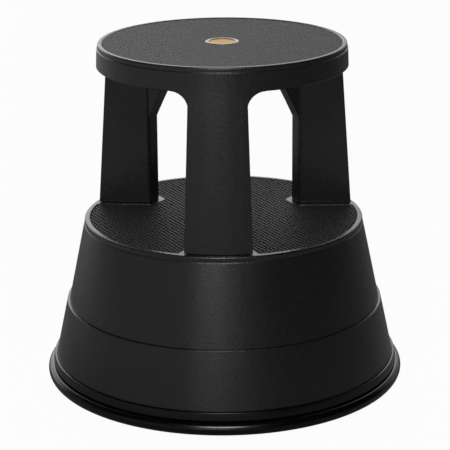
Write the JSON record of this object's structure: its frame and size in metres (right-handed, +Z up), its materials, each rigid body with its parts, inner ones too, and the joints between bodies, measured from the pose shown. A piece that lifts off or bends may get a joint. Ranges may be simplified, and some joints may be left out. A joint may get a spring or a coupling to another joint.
{
  "type": "step stool",
  "caption": "Rolling kick stool: round top platform on legs above a wide step drum with a rubber floor ring and sprung castors hidden inside.",
  "frame": {"origin": "on the floor under the middle of the stool", "axes": "+Z up, one leg towards -Y, the other two at 30 and 150 degrees from +X"},
  "size_m": [0.4399, 0.44, 0.425],
  "materials": {
    "black_plastic": "fine moulded grain, satin",
    "mat_rubber": "studded anti-slip rubber, matt",
    "bumper_rubber": "smooth glossy rubber",
    "chrome": "bright",
    "amber": "gloss",
    "steel": "turned, satin",
    "zinc": "zinc plated",
    "nylon": "moulded nylon, satin",
    "tyre_rubber": "soft grey tread"
  },
  "bodies": {
    "root": {"upper_body": "black_plastic", "top_mat": "mat_rubber", "badge_ring": "chrome", "badge_disc": "amber", "step_drum": "black_plastic", "step_mat": "mat_rubber", "base_skirt": "black_plastic", "bumper_ring": "bumper_rubber", "leg_screws": "zinc", "skirt_screws": "zinc", "housing_screws": "zinc", "castor_housing_1": "nylon", "castor_housing_2": "nylon", "castor_housing_3": "nylon", "castor_spring_1": "steel", "castor_spring_2": "steel", "castor_spring_3": "steel"},
    "plunger_1": {"castor_plunger_1": "steel", "castor_clip_1": "zinc"},
    "fork_1": {"castor_fork_1": "nylon", "castor_axle_1": "steel"},
    "wheel_1": {"castor_wheel_1": "nylon", "castor_tyre_1": "tyre_rubber"},
    "plunger_2": {"castor_plunger_2": "steel", "castor_clip_2": "zinc"},
    "fork_2": {"castor_fork_2": "nylon", "castor_axle_2": "steel"},
    "wheel_2": {"castor_wheel_2": "nylon", "castor_tyre_2": "tyre_rubber"},
    "plunger_3": {"castor_plunger_3": "steel", "castor_clip_3": "zinc"},
    "fork_3": {"castor_fork_3": "nylon", "castor_axle_3": "steel"},
    "wheel_3": {"castor_wheel_3": "nylon", "castor_tyre_3": "tyre_rubber"}
  },
  "joints": [
    {"name": "plunger_slide_1", "type": "slide", "parent": "root", "child": "plunger_1", "axis": [0, 0, 1], "range_m": [0, 0.011], "stiffness_N_per_m": 4000, "springref_m": -0.015, "deforming": ["castor_spring_1"]},
    {"name": "fork_swivel_1", "type": "hinge", "parent": "plunger_1", "child": "fork_1", "pos_m": [0.1299, -0.075, 0.04], "axis": [0, 0, 1], "continuous": true},
    {"name": "wheel_spin_1", "type": "hinge", "parent": "fork_1", "child": "wheel_1", "pos_m": [0.11951, -0.069, 0.017], "axis": [0.5, 0.866, 0], "continuous": true},
    {"name": "plunger_slide_2", "type": "slide", "parent": "root", "child": "plunger_2", "axis": [0, 0, 1], "range_m": [0, 0.011], "stiffness_N_per_m": 4000, "springref_m": -0.015, "deforming": ["castor_spring_2"]},
    {"name": "fork_swivel_2", "type": "hinge", "parent": "plunger_2", "child": "fork_2", "pos_m": [0, 0.15, 0.04], "axis": [0, 0, 1], "continuous": true},
    {"name": "wheel_spin_2", "type": "hinge", "parent": "fork_2", "child": "wheel_2", "pos_m": [0, 0.138, 0.017], "axis": [-1, 0, 0], "continuous": true},
    {"name": "plunger_slide_3", "type": "slide", "parent": "root", "child": "plunger_3", "axis": [0, 0, 1], "range_m": [0, 0.011], "stiffness_N_per_m": 4000, "springref_m": -0.015, "deforming": ["castor_spring_3"]},
    {"name": "fork_swivel_3", "type": "hinge", "parent": "plunger_3", "child": "fork_3", "pos_m": [-0.1299, -0.075, 0.04], "axis": [0, 0, 1], "continuous": true},
    {"name": "wheel_spin_3", "type": "hinge", "parent": "fork_3", "child": "wheel_3", "pos_m": [-0.11951, -0.069, 0.017], "axis": [0.5, -0.866, 0], "continuous": true}
  ]
}
